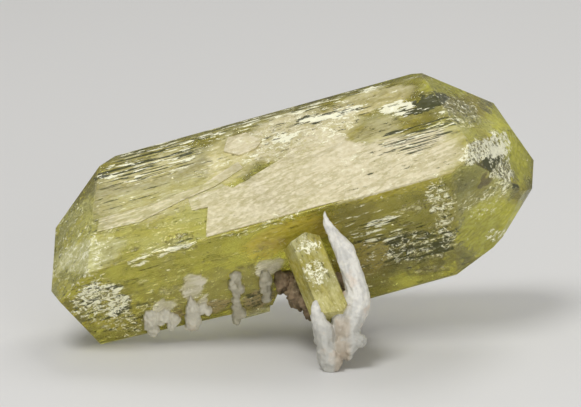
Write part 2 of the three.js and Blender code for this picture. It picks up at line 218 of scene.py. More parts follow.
# Painted glint: the near-white that stands in for sparkles of light
PAINTED_GLINT_COLOUR = (0.96, 0.94, 0.70)
SMALL_FOOT_COLOUR = (0.68, 0.62, 0.22)
CLEAR_TINT = (1.0, 0.99, 0.92)
FIBRE_TINT = (0.66, 0.64, 0.36)
SPOT_TINT = (0.20, 0.21, 0.06)
CRYSTAL_IOR = 1.61
CHIP_COLOUR = (0.96, 0.94, 0.76)
FRACTURE_COLOUR, FRACTURE_SHADE = (0.97, 0.95, 0.80), (0.80, 0.78, 0.55)

# Colours of the albite: painted shade in its hollows, then tints one over the other (painted shade on the
# knobs and the foot, peach and brown stains), and of the matrix's patches and grains
# Painted shade: the grey of the albite's hollows
HOLLOW_SHADE_COLOUR = (0.61, 0.60, 0.555)
ALBITE_TINTS = {
    # Painted shade: the knobs' tints and the foot's; the peach stain and brown base are stains
    "knobs": (0.56, 0.52, 0.37),
    "right knobs": (0.36, 0.33, 0.21),
    "foot": (0.38, 0.375, 0.335),
    "peach stain": (0.68, 0.51, 0.36),
    "brown base": (0.43, 0.345, 0.24),
}
PATCH_COLOUR = (0.27, 0.19, 0.11)
GRAIN_COLOUR = (0.42, 0.35, 0.22)

# How many rounded lumps are grown over a piece, and their radius in millimetres
LUMPS = {
    "albite_blades": (26, 0.35, 0.85),
    "albite_knob_left": (14, 0.35, 0.75),
    "albite_knob_standing": (14, 0.35, 0.75),
    "albite_knob_middle": (14, 0.50, 1.05),
    "albite_knob_right": (8, 0.35, 0.80),
    "matrix_remnant": (40, 0.5, 1.3),
}


# Sizes and colours that a user would change


def length_property(name, description, default):
    """A length in metres."""
    return FloatProperty(name=name, description=description, default=default, unit="LENGTH")


def colour_property(name, description, default):
    """A colour as red, green and blue."""
    return FloatVectorProperty(
        name=name, description=description, default=default, subtype="COLOR", min=0.0, max=1.0
    )


class SpecimenSizes(bpy.types.PropertyGroup):
    """Sizes of the fine relief, and of what is scattered inside the crystals."""

    bevel: length_property("Edge bevel", "Width of the worn crystal edges", 0.12 * MM)
    striation: length_property("Striation depth", "Depth of the lengthways striations", 0.05 * MM)
    strip: length_property("Striation spacing", "Spacing of the striations across a face", 0.55 * MM)
    step: length_property("Step along the axis", "Length of a striation's segments", 1.4 * MM)
    knob_relief: length_property("Albite relief", "Height of the albite's fine lumps", 0.22 * MM)
    matrix_relief: length_property("Matrix relief", "Height of the matrix's grains", 0.42 * MM)
    voxel: length_property("Voxel", "Grid size of the albite and matrix meshes", 0.14 * MM)
    root: length_property("Root depth", "How far albite and matrix reach into a crystal", 0.5 * MM)
    chip: length_property("Chip size", "Length of a bright chip inside the crystal", 0.55 * MM)
    chip_density: FloatProperty(
        name="Chips per square metre", description="Density of the chips under the faces", default=1500000.0,
        min=0.0,
    )
    fracture: length_property("Fracture size", "Length of the longest inner fractures", 6.5 * MM)
    fracture_density: FloatProperty(
        name="Fractures per square metre", description="Density of the inner fractures", default=60000.0,
        min=0.0,
    )
    seed: IntProperty(name="Seed", description="Seed of the scattered chips", default=7)


class SpecimenColours(bpy.types.PropertyGroup):
    """Colours of the minerals and the floor."""

    crystal: colour_property("Crystal", "Colour that the crystal lets through", (0.888, 0.880, 0.01))
    absorption: FloatProperty(
        name="Absorption", description="Density of the crystal's absorption, per metre", default=95.0, min=0.0
    )
    veil: colour_property("Veil", "Thin milky veils", (0.60, 0.57, 0.24))
    deep_veil: colour_property("Deep veil", "Veils in the deeper yellow parts", (0.54, 0.46, 0.045))
    cream: colour_property("Cream", "Raised growth layers", (0.71, 0.63, 0.41))
    albite: colour_property("Albite", "White of the albite", (0.76, 0.74, 0.67))
    matrix: colour_property("Matrix", "Pinkish brown of the matrix", (0.13, 0.094, 0.042))
    floor: colour_property("Floor", "Pale studio floor", (0.74, 0.735, 0.72))


class SpecimenStudio(bpy.types.PropertyGroup):
    """The camera and the lights."""

    distance: length_property("Camera distance", "From the camera to the crystal's middle", 0.6)
    picture_width: length_property("Picture width", "What the picture spans at the crystal", 0.093)
    key_power: FloatProperty(
        name="Key light", description="Power of the soft light overhead", default=2.7, unit="POWER"
    )
    fill_power: FloatProperty(
        name="Fill light", description="Power of the soft side light", default=2.8, unit="POWER"
    )
    world: FloatProperty(name="World light", description="Strength of the even light all round", default=0.36)


# Shader maths


class Socket:
    """A shader socket with Python's arithmetic: each operation adds one Math node."""

    def __init__(self, shader, socket):
        self.shader = shader
        self.socket = socket

    def maths(self, operation, *values):
        return self.shader.node("ShaderNodeMath", {"operation": operation}, dict(enumerate(values)))

    def __add__(self, other):
        return self.maths("ADD", self, other)

    def __sub__(self, other):
        return self.maths("SUBTRACT", self, other)

    def __rsub__(self, other):
        return self.maths("SUBTRACT", other, self)

    def __mul__(self, other):
        return self.maths("MULTIPLY", self, other)

    __radd__ = __add__
    __rmul__ = __mul__

    def larger(self, other):
        return self.maths("MAXIMUM", self, other)

    def clamp(self):
        return self.shader.node("ShaderNodeClamp", values={"Value": self})

    def step(self, low, high):
        """0 below low and 1 above high, with a smooth rise between, or a fall where low is above high."""
        values = {"Value": self, "From Min": low, "From Max": high}
        return self.shader.node("ShaderNodeMapRange", {"interpolation_type": "SMOOTHSTEP"}, values)


class Shader:
    """A material's node tree, built by calls."""

    def __init__(self, name):
        self.material = bpy.data.materials.new(name)
        self.material.use_nodes = True
        self.tree = self.material.node_tree
        self.tree.nodes.clear()
        self.output = self.tree.nodes.new("ShaderNodeOutputMaterial")

    def node(self, kind, settings=None, values=None, out=0):
        """Adds a node with its settings and the values or links of its sockets, and returns one output."""
        made = self.tree.nodes.new(kind)
        for key, value in (settings or {}).items():
            setattr(made, key, value)
        for key, value in (values or {}).items():
            if isinstance(value, Socket):
                self.tree.links.new(value.socket, made.inputs[key])
            elif value is not None:
                made.inputs[key].default_value = value
        return Socket(self, made.outputs[out])

    def vector_maths(self, operation, *values, out=0):
        return self.node("ShaderNodeVectorMath", {"operation": operation}, dict(enumerate(values)), out)

    def place(self):
        """Object coordinates, which are the world's here."""
        return self.node("ShaderNodeTexCoord", out=3)

    def normal(self):
        return self.node("ShaderNodeNewGeometry", out=1)

    def measured(self, place, direction, origin):
        """Millimetres from origin along direction."""
        return self.vector_maths("DOT_PRODUCT", place, direction / MM, out=1) - direction.dot(origin) / MM

    def oval(self, chart, s, w, half_length, half_width):
        """1 inside an oval on the chart and 0 outside it, with a soft rim."""
        scale = Vector((1 / half_length, 1 / half_width, 0))
        shift = Vector((-s / half_length, -w / half_width, 0))
        within = self.vector_maths("MULTIPLY_ADD", chart, scale, shift)
        return self.vector_maths("LENGTH", within, out=1).step(1.05, 0.65)

    def vector(self, x, y, z):
        return self.node("ShaderNodeCombineXYZ", values={0: x, 1: y, 2: z})

    def parts(self, vector):
        """The three numbers in a vector."""
        outputs = self.node("ShaderNodeSeparateXYZ", values={0: vector}).socket.node.outputs
        return [Socket(self, output) for output in outputs]

    def noise(self, vector, scale, detail=3.0, roughness=0.55, swirl=0.0):
        values = {"Vector": vector, "Scale": scale, "Detail": detail, "Roughness": roughness}
        return self.node("ShaderNodeTexNoise", values={**values, "Distortion": swirl})

    def cells(self, vector):
        """The random colours of irregular cells."""
        return self.node("ShaderNodeTexVoronoi", values={"Vector": vector, "Scale": 1.0}, out=1)

    def offset(self, cells, size):
        """A small vector from the random colour of a cell."""
        middled = self.vector_maths("SUBTRACT", cells, (0.5, 0.5, 0.5))
        return self.node("ShaderNodeVectorMath", {"operation": "SCALE"}, {0: middled, 3: size})

    def tilted(self, normal, *offsets):
        """The normal, tilted by the offsets."""
        tilt = self.vector_maths("ADD", *offsets)
        return self.vector_maths("NORMALIZE", self.vector_maths("ADD", normal, tilt))

    def blend(self, factor, first, second, kind="MIX"):
        """Mixes two colours, given as sockets or as red, green and blue."""
        first, second = (c if isinstance(c, Socket) else (*c, 1) for c in (first, second))
        settings = {"data_type": "RGBA", "blend_type": kind}
        return self.node("ShaderNodeMix", settings, {0: factor, 6: first, 7: second}, 2)

    def bump(self, height, strength, distance, normal=None):
        values = {"Height": height, "Strength": strength, "Distance": distance, "Normal": normal}
        return self.node("ShaderNodeBump", values=values)

    def principled(self, **values):
        """A Principled shader, with its sockets named in lower case with underscores."""
        named = {key.replace("_", " ").title().replace("Ior", "IOR"): value for key, value in values.items()}
        return self.node("ShaderNodeBsdfPrincipled", values=named)

    def finish(self, surface, volume=None):
        self.tree.links.new(surface.socket, self.output.inputs["Surface"])
        if volume is not None:
            self.tree.links.new(volume.socket, self.output.inputs["Volume"])
        return self.material


def crystal_patterns(shader, along, middle, main):
    """Where a point lies along, across and in front of a crystal's axis, and the patterns there."""
    place = shader.place()
    across = (FORWARD - along * FORWARD.dot(along)).normalized().cross(along)
    forward = along.cross(across)
    s, w, d = (shader.measured(place, direction, middle) for direction in (along, across, forward))

    def grown(pattern, shift=0.0):
        """One of the patterns, shifted along the axis."""
        lengthways, sideways, *how = PATTERNS[pattern]
        return shader.noise(shader.vector(s * lengthways + shift, w * sideways, d * sideways), 1.0, *how)

    drift = grown("drift")
    clouds = grown("clouds")
    fibres = grown("fibres", drift)
    threads = grown("threads", drift * 1.5)
    mottle = grown("mottle")
    peel = grown("peel")
    fine, coarse = (1.45, 0.9) if main else (1.7, 1.7)
    spark = shader.noise(shader.vector(w * fine, s * coarse, d * fine), 1.0, 6.0, 0.78, 1.1)
    bent_s = s + (mottle - 0.5) * 2.0
    bent_w = w + (spark - 0.5) * 1.6
    facets = shader.cells(shader.vector(bent_s * 1.1, bent_w * 2.0, d * 2.0))
    plates = shader.cells(shader.vector(s * 0.16, w * 0.5, d * 0.5))
    slant = shader.vector((s * 0.95 + w * 0.30) * 0.11, (w * 0.95 - s * 0.30) * 0.75, d * 0.75)
    hairs = shader.noise(slant, 1.0, 4.0, 0.6) - 0.5
    hairline = (hairs * hairs).step(0.0050, 0.0008) * clouds.step(0.34, 0.54)
    return SimpleNamespace(
        place=place, s=s, w=w, d=d, clouds=clouds, fibres=fibres, threads=threads, mottle=mottle, peel=peel,
        spark=spark, facets=facets, plates=plates, hairline=hairline,
    )


def main_marks(shader, at, middle, colours, veil):
    """The main crystal's milk, darkness, painted glints and veils, from its zones and raised layers."""
    rough_s = at.s + (at.clouds - 0.5) * 6.0 + (at.mottle - 0.5) * 2.5
    rough_w = at.w + (at.clouds - 0.5) * 3.5 + (at.mottle - 0.5) * 1.8
    chart = shader.vector(rough_s, rough_w, at.d.step(0.5, -3.0) * 2)
    inside = {name: shader.oval(chart, *zone[:4]) for name, zone in ZONES.items()}
    amounts, streaky = BACKGROUND, BACKGROUND_THREADS
    for name, zone in ZONES.items():
        amounts = shader.vector_maths("MULTIPLY_ADD", inside[name], zone[4:7], amounts)
        if zone.threads:
            streaky = streaky + inside[name] * zone.threads
    milk, darkness, brightness = shader.parts(amounts)

    upper_reach = shader.measured(at.place, UPPER_FRONT, middle)
    lower_reach = shader.measured(at.place, LOWER_FRONT, middle)
    # The upper and lower front faces. The upper face gets more milk and cream: partly frosted growth layers,
    # partly painted sheen of the overhead light. The lower face gets more milk in the deep veil: partly the
    # crystal's deeper yellow, partly painted shade.
    up = upper_reach.step(UPPER_REACH - 0.45, UPPER_REACH - 0.2)
    low = lower_reach.step(LOWER_REACH - 0.45, LOWER_REACH - 0.2)
    raised = upper_reach.step(UPPER_REACH + 0.09, UPPER_REACH + 0.16)
    thin_band = at.w.step(5.4, 5.8) * at.w.step(9.5, 9.0) * at.s.step(-4.5, -5.5)
    streaked = (at.s.step(-13.5, -15.0) + thin_band).clamp()
    layer = (0.72 + 0.4 * at.peel) * (1 - streaked) + (0.25 + 0.6 * at.fibres.step(0.38, 0.58)) * streaked
    ends = (at.s * at.s).step(30.0 ** 2, 33.0 ** 2)
    milk = (milk + 0.17 * low + 0.22 * up + 0.30 * ends * at.clouds.step(0.46, 0.58)).larger(raised * layer)

    # Cream on the raised layers and on zones of the upper face: frosted layers, partly painted sheen.
    pale = raised + up * sum(inside[name] * share for name, share in CREAM_SHARES.items())
    pale = (pale - 0.5 * inside["window"] + 0.15 * low * inside["haze"]).clamp()
    rims = inside["right rim"] + inside["top rim"] + inside["right plain"] + 0.5 * inside["left tip"]
    tinted = {
        **inside,
        "cream upper": inside["cream upper"] * at.mottle.step(0.47, 0.60),
        "sage": inside["sage"] * at.threads.step(0.54, 0.62),
        "roots": sum(inside[name] for name in ZONES if name.startswith("root")).clamp(),
        "crusts": sum(inside[name] for name in ZONES if name.startswith("crust")).clamp(),
        "rims": rims.clamp(),
        "gold middle": inside["gold middle"] * (1 - raised),
    }
    # Deep veil on the lower face: partly the crystal's deeper yellow, partly painted shade.
    veil = shader.blend(low * 0.85, veil, tuple(colours.deep_veil))
    veil = shader.blend(pale, veil, tuple(colours.cream))
    for name, (strength, tint) in VEIL_TINTS.items():
        veil = shader.blend(tinted[name] * strength, veil, tint)
    brightness = brightness - 0.3 * raised
    return SimpleNamespace(
        milk=milk, darkness=darkness - 0.6 * raised, brightness=brightness, streaky=streaky.clamp(),
        pale=pale, ends=ends, broken=brightness.clamp(), veil=veil,
    )


def small_marks(shader, at, veil):
    """The small crystal's milk, darkness, painted glints and veils: painted glints above, a milky foot."""
    chart = shader.vector(at.s + (at.clouds - 0.5) * 3.0, at.w + (at.mottle - 0.5) * 3.0, 0.0)
    # Painted glints: two patches of near-white sparkle on the upper part.
    bright = (shader.oval(chart, 0.6, -0.2, 2.4, 2.2) + shader.oval(chart, 5.0, -0.6, 1.3, 2.2)).clamp()
    foot = at.s.step(-1.0, -4.0)
    return SimpleNamespace(
        milk=0.60 + 0.2 * at.peel + 0.15 * foot, darkness=at.s.step(-2.5, 1.0) * 0.25 - 0.1,
        brightness=0.08 + bright * 0.85, streaky=0.1, pale=0.3 * at.peel, ends=0.0, broken=bright,
        veil=shader.blend(foot * 0.6, veil, SMALL_FOOT_COLOUR),
    )


def crystal_shader(name, colours, along, middle, main):
    """Clear yellow crystal: plain transmission and absorption, under milky layers, streaks and mottling, with
    painted glints, sheen and shade.
    """
    shader = Shader(name)
    at = crystal_patterns(shader, along, middle, main)
    veil = shader.blend(at.clouds.step(0.35, 0.65), tuple(colours.veil), tuple(colours.deep_veil))
    marks = main_marks(shader, at, middle, colours, veil) if main else small_marks(shader, at, veil)

    crisp = at.fibres * 0.55 + at.mottle * 0.45
    dark_mark = marks.darkness * MARK_GAIN + 0.5 - crisp - (at.threads - crisp) * marks.streaky
    # Painted glints: where the bright marks rise, the milky veil turns near-white, standing in for sparkles
    # of light.
    painted_glint_level = marks.brightness * MARK_GAIN - 0.5 + at.spark + (at.fibres - at.spark) * marks.streaky
    spotted = dark_mark.step(*SPOT_RISE)
    painted_glint_mask = painted_glint_level.step(*PAINTED_GLINT_RISE)
    milk = marks.milk.larger(0.92 * spotted).larger(0.95 * painted_glint_mask).clamp() * 0.96

    # Painted highlight: the peel's high points turn pale, more on the cream.
    veil = shader.blend(at.peel.step(0.36, 0.62) * (0.10 + 0.35 * marks.pale), marks.veil, PAINTED_PEEL_HIGHLIGHT)
    worn = crisp.step(0.56, 0.40) * (0.60 - 0.4 * marks.pale - 0.3 * marks.ends)
    veil = shader.blend(worn, veil, WORN_COLOUR, "MULTIPLY")
    veil = shader.blend(at.hairline * 0.45, veil, HAIR_COLOUR, "MULTIPLY")
    veil = shader.blend(spotted * 0.94, veil, SPOT_COLOUR)
    # Painted glints over the veil
    veil = shader.blend(painted_glint_mask, veil, PAINTED_GLINT_COLOUR)
    tint = shader.blend(at.fibres.step(0.60, 0.36) * 0.30, CLEAR_TINT, FIBRE_TINT)
    tint = shader.blend(spotted, tint, SPOT_TINT)

    tilts = shader.offset(at.facets, 0.05 + 0.35 * marks.broken), shader.offset(at.plates, 0.08)
    relief = at.fibres * 0.5 + at.threads * 0.3 + at.peel * 0.8
    normal = shader.bump(relief, 0.55, 0.12 * MM, shader.tilted(shader.normal(), *tilts))
    clear = shader.principled(
        base_color=tint, roughness=0.02 + 0.12 * at.mottle.step(0.45, 0.7), ior=CRYSTAL_IOR,
        transmission_weight=1.0, normal=normal,
    )
    milky = shader.principled(base_color=veil, roughness=0.36, specular_ior_level=0.25, normal=normal)
    surface = shader.node("ShaderNodeMixShader", values={0: milk, 1: clear, 2: milky})
    absorbed = {"Color": (*colours.crystal, 1), "Density": colours.absorption}
    return shader.finish(surface, shader.node("ShaderNodeVolumeAbsorption", values=absorbed))


def chip_shader():
    """Bright cleavage chips inside the crystal, which mirror the light."""
    shader = Shader("bright_chips")
    shade = shader.noise(shader.place(), 900.0, 2.0)
    tone = shader.blend(shade, tuple(c * 0.7 for c in CHIP_COLOUR), CHIP_COLOUR)
    return shader.finish(shader.principled(base_color=tone, metallic=1.0, roughness=0.10 + 0.2 * shade))


def fracture_shader():
    """Mirror-like inner fractures with lacy edges."""
    shader = Shader("fractures")
    lace = shader.noise(shader.place(), 1300.0, 4.0, 0.65)
    mirror = shader.principled(
        base_color=shader.blend(lace, FRACTURE_COLOUR, FRACTURE_SHADE), metallic=1.0,
        roughness=0.04 + 0.14 * lace, alpha=lace.step(0.47, 0.53) * 0.85,
        normal=shader.bump(lace, 0.6, 0.1 * MM),
    )
    return shader.finish(mirror)


def albite_shader(colours):
    """Pearly white albite: painted shade in its grey hollows and on the knobs and foot, and a peach stain on
    the blade.
    """
    shader = Shader("albite")
    place = shader.place()
    lumps = shader.noise(place, 700.0, 4.0, 0.6)
    grains = shader.noise(place, 2600.0, 3.0, 0.6)
    stain = shader.noise(place, 260.0, 3.0, 0.6)
    beside_ridge = SPECIMEN_TURN @ (RIDGE_FOOT - RIDGE_TOP).normalized().cross(Vector((0, 0, 1)))
    left = shader.measured(place, beside_ridge, from_middle(RIDGE_TOP))
    side = shader.measured(place, RIGHT, MIDDLE)
    height = shader.measured(place, Vector((0, 0, 1)), Vector())
    edge = left.step(1.0, 1.6) * height.step(8.5, 10.5) * height.step(20.0, 16.0) * side.step(4.0, 5.0)
    base = side.step(6.2, 7.0) * side.step(9.4, 8.6) * height.step(9.0, 7.0)
    stain_and_shade = {
        # Painted shade, yellowed by the crystal over the knobs
        "knobs": side.step(-1.0, -3.5) * 0.55,
        # Painted shade: the right and middle knobs under the crystal's overhang
        "right knobs": side.step(-14.0, -9.0) * side.step(0.0, -3.0) * 0.55,
        # Painted shade: the foot of the blades
        "foot": side.step(0.0, 1.0) * height.step(11.0, 4.5) * 0.75,
        "peach stain": (stain.step(0.56, 0.74) * 0.4 + edge * 0.7 * stain.step(0.34, 0.50)).clamp(),
        "brown base": base * stain.step(0.34, 0.50) * 0.6,
    }
    # Painted shade: the low points of the bump's noise are coloured grey.
    tone = shader.blend(lumps.step(0.38, 0.58), HOLLOW_SHADE_COLOUR, tuple(colours.albite))
    for name, tint in ALBITE_TINTS.items():
        tone = shader.blend(stain_and_shade[name], tone, tint)
    pearly = shader.principled(
        base_color=tone, roughness=0.32 + 0.3 * grains, subsurface_weight=0.2, subsurface_scale=0.5 * MM,
        subsurface_radius=(1.0, 0.9, 0.8), normal=shader.bump(lumps * 0.7 + grains * 0.3, 0.6, 0.25 * MM),
    )
    return shader.finish(pearly)


def matrix_shader(colours):
    """Dull pinkish-brown matrix with pale grains."""
    shader = Shader("matrix")
    place = shader.place()
    grains = shader.noise(place, 1500.0, 5.0, 0.65)
    patches = shader.noise(place, 380.0, 3.0, 0.55)
    tone = shader.blend(patches.step(0.40, 0.66), tuple(colours.matrix), PATCH_COLOUR)
    tone = shader.blend(grains.step(0.56, 0.70) * 0.7, tone, GRAIN_COLOUR)
    normal = shader.bump(grains, 0.9, 0.25 * MM)
    return shader.finish(shader.principled(base_color=tone, roughness=0.6 + 0.3 * grains, normal=normal))


def floor_shader(colours):
    """A pale floor with a faint unevenness."""
    shader = Shader("floor")
    shade = shader.noise(shader.place(), 6.0, 2.0)
    floor = tuple(colours.floor)
    tone = shader.blend(shade, tuple(c * 0.98 for c in floor), floor)
    return shader.finish(shader.principled(base_color=tone, roughness=0.55))


# Meshes

# Angles between faces: below the first they are one face, above the second the edge is worn, and above the
# third it is shaded hard
FLAT, SHARP, CREASE = (math.radians(degrees) for degrees in (0.4, 8, 12))
BLADE_LUMPS_BELOW = 8 * MM  # no lumps are grown on the blades above this height
ROOT_REACH = 0.5 * MM  # what is nearer than this to a crystal and faces it is pushed in


def merged_copy(node):
    """A CAD node's mesh as one closed shell, its loose triangles welded."""
    shell = bmesh.new()
    shell.from_mesh(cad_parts[node].data)
    bmesh.ops.remove_doubles(shell, verts=shell.verts, dist=0.002 * MM)
    return shell


def linked(name, data):
    """A new object in the scene."""
    made = bpy.data.objects.new(name, data)
    bpy.context.scene.collection.objects.link(made)
    return made


def shaded(mesh, smooth):
    """Sets smooth or flat shading on every face."""
    mesh.polygons.foreach_set("use_smooth", [smooth] * len(mesh.polygons))


def object_from(shell, name, smooth=True):
    """Turns a shell into an object and frees the shell."""
    mesh = bpy.data.meshes.new(name)
    shell.to_mesh(mesh)
    shell.free()
    shaded(mesh, smooth)
    return linked(name, mesh)


def finished_mesh(piece):
    """Applies an object's modifiers: returns their result as a mesh of its own and removes them."""
    evaluated = piece.evaluated_get(bpy.context.evaluated_depsgraph_get())
    mesh = bpy.data.meshes.new_from_object(evaluated)
    piece.modifiers.clear()
    return mesh


def dressed(piece, material, slot, *nodes):
    """Gives a finished piece its material and its place on the specimen."""
    if material is not None:
        piece.data.materials.clear()
        piece.data.materials.append(material)
    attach(piece, "root")
    if nodes:
        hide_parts(*nodes)


def bisected(shell, normal, spacing, middle):
    """Cuts every face of the shell along evenly spaced planes."""
    reaches = [(vert.co - middle).dot(normal) for vert in shell.verts]
    for i in range(math.ceil(min(reaches) / spacing), math.floor(max(reaches) / spacing) + 1):
        geometry = shell.verts[:] + shell.edges[:] + shell.faces[:]
        bmesh.ops.bisect_plane(
            shell, geom=geometry, plane_co=middle + normal * spacing * i, plane_no=normal, dist=0.004 * MM
        )


def tapered(shell):
    """Lets the raised growth layer run out into the face at its right end, and thins the band at its left."""
    for vert in shell.verts:
        offset = (vert.co - MIDDLE) / MM
        above = offset.dot(UPPER_FRONT) - UPPER_REACH
        s = offset.dot(ALONG)
        w = offset.dot(ACROSS)
        if above > 0.05:
            thin_band = s < -14.0 or (s < -5.0 and 5.6 < w < 9.3)
            lowered = 0.5 if thin_band else min(1.0, max(0.0, (s - 3.0) / 7.5))
            vert.co -= UPPER_FRONT * above * MM * lowered


def striated_crystal(node, name, sizes, along, middle, cuts):
    """A crystal with worn edges and lengthways striations, cut from its CAD form."""
    shell = merged_copy(node)
    bmesh.ops.dissolve_limit(shell, angle_limit=FLAT, verts=shell.verts, edges=shell.edges)
    sharp = [edge for edge in shell.edges if edge.calc_face_angle(0) > SHARP]
    bmesh.ops.bevel(
        shell, geom=sharp, offset=sizes.bevel, segments=2, profile=0.6, affect="EDGES", clamp_overlap=True
    )
    for normal in cuts:
        bisected(shell, normal, sizes.strip, middle)
    bisected(shell, along, sizes.step, middle)
    bmesh.ops.triangulate(shell, faces=[face for face in shell.faces if len(face.verts) > 4])
    if node == "main_crystal":
        tapered(shell)
    shell.normal_update()
    moves = {}
    for vert in shell.verts:
        on_edge = any(vert.link_faces[0].normal.dot(face.normal) < 0.999 for face in vert.link_faces)
        if on_edge:
            continue
        lengthways = abs(vert.normal.dot(along)) < 0.2
        offset = vert.co - middle
        s = offset.dot(along) / MM
        side = (offset - along * offset.dot(along)) / MM
        if lengthways:
            where = Vector((s * 0.03, side.x * 1.1, side.z * 1.1 + side.y * 0.7))
            height = noise.noise(where) + 0.5 * noise.noise(where * 2.3)
        else:
            height = 0.5 * noise.noise(offset / MM * 0.5)
        moves[vert] = vert.normal * height * sizes.striation
    for vert, move in moves.items():
        vert.co += move
    for edge in shell.edges:
        edge.smooth = edge.calc_face_angle(0) < CREASE
    return object_from(shell, name)


def remeshed(piece, voxel):
    """Voxel remesh, applied."""
    modifier = piece.modifiers.new("remesh", "REMESH")
    modifier.mode = "VOXEL"
    modifier.voxel_size = voxel
    rough = piece.data
    piece.data = finished_mesh(piece)
    bpy.data.meshes.remove(rough)
    shaded(piece.data, True)


def with_lumps(shell, node, seed):
    """Adds rounded lumps over a piece, so that it looks grown and crumbly."""
    count, smallest, largest = LUMPS[node]
    chance = np.random.default_rng(seed)
    ceiling = BLADE_LUMPS_BELOW if node == "albite_blades" else math.inf
    faces = [face for face in shell.faces if face.calc_center_median().z < ceiling]
    shares = np.array([face.calc_area() for face in faces])
    for index in chance.choice(len(faces), count, p=shares / shares.sum()):
        corners = [vert.co for vert in faces[index].verts]
        weights = chance.dirichlet([1.0] * len(corners))
        centre = sum((corner * weight for corner, weight in zip(corners, weights)), Vector())
        radius = chance.uniform(smallest, largest) * MM
        centre.z = max(centre.z, radius)
        centre -= faces[index].normal * radius * 0.55
        bmesh.ops.create_icosphere(shell, subdivisions=2, radius=radius, matrix=Matrix.Translation(centre))
    return shell


def with_ridge(shell):
    """Adds the long ridge down the tall blade and fills the fork between the blades."""
    surface = BVHTree.FromBMesh(shell)
    points = []
    for share in (0, 0.5, 1):
        start = from_middle(RIDGE_TOP.lerp(RIDGE_FOOT, share)) + TOWARD_VIEWER * 20 * MM
        points.append(surface.ray_cast(start, -TOWARD_VIEWER)[0])
    top, middle, foot = points
    along = (foot - top).normalized()
    side = along.cross(TOWARD_VIEWER).normalized()
    turn = Matrix((side, along.cross(side), along)).transposed()
    size = Matrix.Diagonal(Vector((RIDGE_WIDTH * MM, RIDGE_HEIGHT * MM, (foot - top).length * 0.7)))
    place = Matrix.Translation(middle) @ (turn @ size).to_4x4()
    bmesh.ops.create_uvsphere(shell, u_segments=4, v_segments=2, radius=1.0, matrix=place)
    fork = Matrix.Translation(from_middle(FORK)) @ (SPECIMEN_TURN @ Matrix.Diagonal(FORK_SIZE * MM)).to_4x4()
    bmesh.ops.create_icosphere(shell, subdivisions=3, radius=1.0, matrix=fork)


def crystal_surfaces():
    """Closest-point search on both crystals."""
    shells = []
    for node in ("main_crystal", "small_crystal"):
        shell = merged_copy(node)
        shells.append(BVHTree.FromBMesh(shell))
        shell.free()
    return shells


def rooted(piece, surfaces, root):
    """Pushes what lies against a crystal a little way into it, as mineral that grew there."""
    normals = [vert.normal.copy() for vert in piece.data.vertices]
    for vert, normal in zip(piece.data.vertices, normals):
        for surface in surfaces:
            point, outward, _, distance = surface.find_nearest(vert.co, ROOT_REACH)
            if point is not None and normal.dot(outward) < -0.3:
                vert.co = point - outward * root * (1 - distance / ROOT_REACH) ** 0.5


def roughened(piece, height, scale):
    """Moves the vertices along their normals: layered noise with domed sugary grains on it."""
    mesh = piece.data
    normals = [vert.normal.copy() for vert in mesh.vertices]
    for vert, normal in zip(mesh.vertices, normals):
        where = vert.co / scale
        lump = noise.noise(where) + 0.5 * noise.noise(where * 2.1)
        grain = 0.5 - noise.voronoi(where * 1.7)[0][0]
        vert.co += normal * height * (lump + 0.9 * grain)
    low = min(vert.co.z for vert in mesh.vertices)
    if low < 0:
        for vert in mesh.vertices:
            vert.co.z = max(vert.co.z, 0.0)


# Geometry nodes

# What is scattered: the piece's name, its crystal with its middle and axis, how far out it lies as a share of
# the way to the faces, and how dense it is
CHIP_JOBS = (
    ("main_chips_outer", "main_crystal", MIDDLE, ALONG, 0.955, 1.0),
    ("main_chips_inner", "main_crystal", MIDDLE, ALONG, 0.80, 0.6),
    ("small_chips", "small_crystal", SMALL_MIDDLE, SMALL_ALONG, 0.82, 4.0),
)
FRACTURE_JOBS = (
    ("fractures_outer", "main_crystal", MIDDLE, ALONG, 0.94, 1.0),
    ("fractures_inner", "main_crystal", MIDDLE, ALONG, 0.74, 0.8),
)
CROWD_SEED_STEP = 3.7


class Tree:
    """A geometry node tree, built by calls."""

    def __init__(self, name, inputs):
        self.tree = bpy.data.node_groups.new(name, "GeometryNodeTree")
        self.tree.interface.new_socket("Geometry", in_out="INPUT", socket_type="NodeSocketGeometry")
        for key, kind in inputs.items():
            self.tree.interface.new_socket(key, in_out="INPUT", socket_type="NodeSocket" + kind)
        self.tree.interface.new_socket("Geometry", in_out="OUTPUT", socket_type="NodeSocketGeometry")
        self.inputs = self.tree.nodes.new("NodeGroupInput").outputs

    def node(self, kind, settings=None, values=None):
        """Adds a node with its settings and the values or links of its sockets, and returns its outputs."""
        made = self.tree.nodes.new(kind)
        for key, value in (settings or {}).items():
            setattr(made, key, value)
        for key, value in (values or {}).items():
            if isinstance(value, bpy.types.NodeSocket):
                self.tree.links.new(value, made.inputs[key])
            else:
                made.inputs[key].default_value = value
        return made.outputs

    def finish(self, geometry):
        output = self.tree.nodes.new("NodeGroupOutput")
        self.tree.links.new(geometry, output.inputs["Geometry"])
        return self.tree


